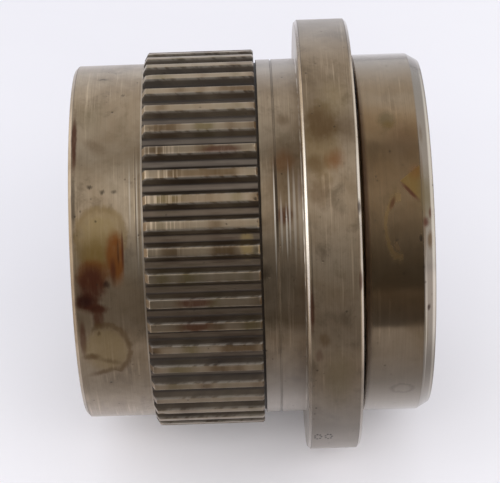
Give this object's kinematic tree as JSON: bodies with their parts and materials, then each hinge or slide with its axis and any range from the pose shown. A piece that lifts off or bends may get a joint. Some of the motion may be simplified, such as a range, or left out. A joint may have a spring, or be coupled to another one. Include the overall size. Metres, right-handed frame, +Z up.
{
  "type": "planetary gear set",
  "caption": "Compact planetary gear set in an externally splined ring gear sleeve with a flange, a sun gear with a splined bore and a ground output journal on the carrier.",
  "frame": {"origin": "on the gear axis, midway between the sleeve's open end face and the output hub's end face", "axes": "+X along the gear axis from the input side to the output side; +Z up with the unit lying on its side"},
  "size_m": [0.09, 0.1145, 0.1144],
  "materials": {
    "sleeve_steel": "worn oiled steel, turned and ground, with rust stains",
    "hub_steel": "worn ground steel with rust stains",
    "carrier_steel": "machined steel with an oil film",
    "gear_steel": "case-hardened, ground gear steel",
    "bearing_steel": "polished bearing steel",
    "cage_brass": "machined brass",
    "black_steel": "blackened high-tensile steel",
    "spring_steel": "phosphated spring steel",
    "bronze": "thrust washer bronze",
    "seal_rubber": "black nitrile rubber",
    "plated_steel": "zinc-plated pressed steel"
  },
  "bodies": {
    "sleeve": {"ring_gear_sleeve": "sleeve_steel", "bearing_outer_ring": "bearing_steel", "bearing_retaining_ring": "spring_steel", "shaft_seal": "seal_rubber", "seal_garter_spring": "plated_steel"},
    "carrier": {"carrier_body": "carrier_steel", "carrier_front_plate": "carrier_steel", "front_plate_screws": "black_steel", "front_plate_dowels": "bearing_steel", "planet_pin_1": "bearing_steel", "planet_pin_2": "bearing_steel", "planet_pin_3": "bearing_steel", "planet_pin_4": "bearing_steel", "pin_lock_pins": "spring_steel", "planet_thrust_washers": "bronze", "sun_front_washer": "bronze", "sun_rear_washer": "bronze", "core_plug": "plated_steel", "bearing_inner_ring": "bearing_steel", "output_hub": "hub_steel", "output_hub_screws": "black_steel", "output_hub_dowels": "bearing_steel"},
    "sun": {"sun_gear": "gear_steel"},
    "ball_set": {"bearing_balls": "bearing_steel", "bearing_cage": "cage_brass"},
    "planet_1": {"planet_gear_1": "gear_steel"},
    "needles_1": {"planet_needles_1": "bearing_steel"},
    "planet_2": {"planet_gear_2": "gear_steel"},
    "needles_2": {"planet_needles_2": "bearing_steel"},
    "planet_3": {"planet_gear_3": "gear_steel"},
    "needles_3": {"planet_needles_3": "bearing_steel"},
    "planet_4": {"planet_gear_4": "gear_steel"},
    "needles_4": {"planet_needles_4": "bearing_steel"}
  },
  "joints": [
    {"name": "carrier_spin", "type": "hinge", "parent": "sleeve", "child": "carrier", "pos_m": [0, 0, 0], "axis": [1, 0, 0], "continuous": true},
    {"name": "sun_spin", "type": "hinge", "parent": "sleeve", "child": "sun", "pos_m": [-0.012, 0, 0], "axis": [1, 0, 0], "continuous": true},
    {"name": "ball_set_spin", "type": "hinge", "parent": "sleeve", "child": "ball_set", "pos_m": [0.0109, 0, 0], "axis": [1, 0, 0], "continuous": true},
    {"name": "planet_1_spin", "type": "hinge", "parent": "carrier", "child": "planet_1", "pos_m": [-0.012, 0.027, 0], "axis": [1, 0, 0], "continuous": true},
    {"name": "needles_1_roll", "type": "hinge", "parent": "carrier", "child": "needles_1", "pos_m": [-0.012, 0.027, 0], "axis": [1, 0, 0], "continuous": true},
    {"name": "planet_2_spin", "type": "hinge", "parent": "carrier", "child": "planet_2", "pos_m": [-0.012, 0, 0.027], "axis": [1, 0, 0], "continuous": true},
    {"name": "needles_2_roll", "type": "hinge", "parent": "carrier", "child": "needles_2", "pos_m": [-0.012, 0, 0.027], "axis": [1, 0, 0], "continuous": true},
    {"name": "planet_3_spin", "type": "hinge", "parent": "carrier", "child": "planet_3", "pos_m": [-0.012, -0.027, 0], "axis": [1, 0, 0], "continuous": true},
    {"name": "needles_3_roll", "type": "hinge", "parent": "carrier", "child": "needles_3", "pos_m": [-0.012, -0.027, 0], "axis": [1, 0, 0], "continuous": true},
    {"name": "planet_4_spin", "type": "hinge", "parent": "carrier", "child": "planet_4", "pos_m": [-0.012, 0, -0.027], "axis": [1, 0, 0], "continuous": true},
    {"name": "needles_4_roll", "type": "hinge", "parent": "carrier", "child": "needles_4", "pos_m": [-0.012, 0, -0.027], "axis": [1, 0, 0], "continuous": true}
  ],
  "couplings": [
    {"joint": "sun_spin", "follows": "carrier_spin", "ratio": 3.6},
    {"joint": "ball_set_spin", "follows": "carrier_spin", "ratio": 0.46007},
    {"joint": "planet_1_spin", "follows": "carrier_spin", "ratio": -3.25},
    {"joint": "needles_1_roll", "follows": "carrier_spin", "ratio": -1.9205},
    {"joint": "planet_2_spin", "follows": "carrier_spin", "ratio": -3.25},
    {"joint": "needles_2_roll", "follows": "carrier_spin", "ratio": -1.9205},
    {"joint": "planet_3_spin", "follows": "carrier_spin", "ratio": -3.25},
    {"joint": "needles_3_roll", "follows": "carrier_spin", "ratio": -1.9205},
    {"joint": "planet_4_spin", "follows": "carrier_spin", "ratio": -3.25},
    {"joint": "needles_4_roll", "follows": "carrier_spin", "ratio": -1.9205}
  ]
}
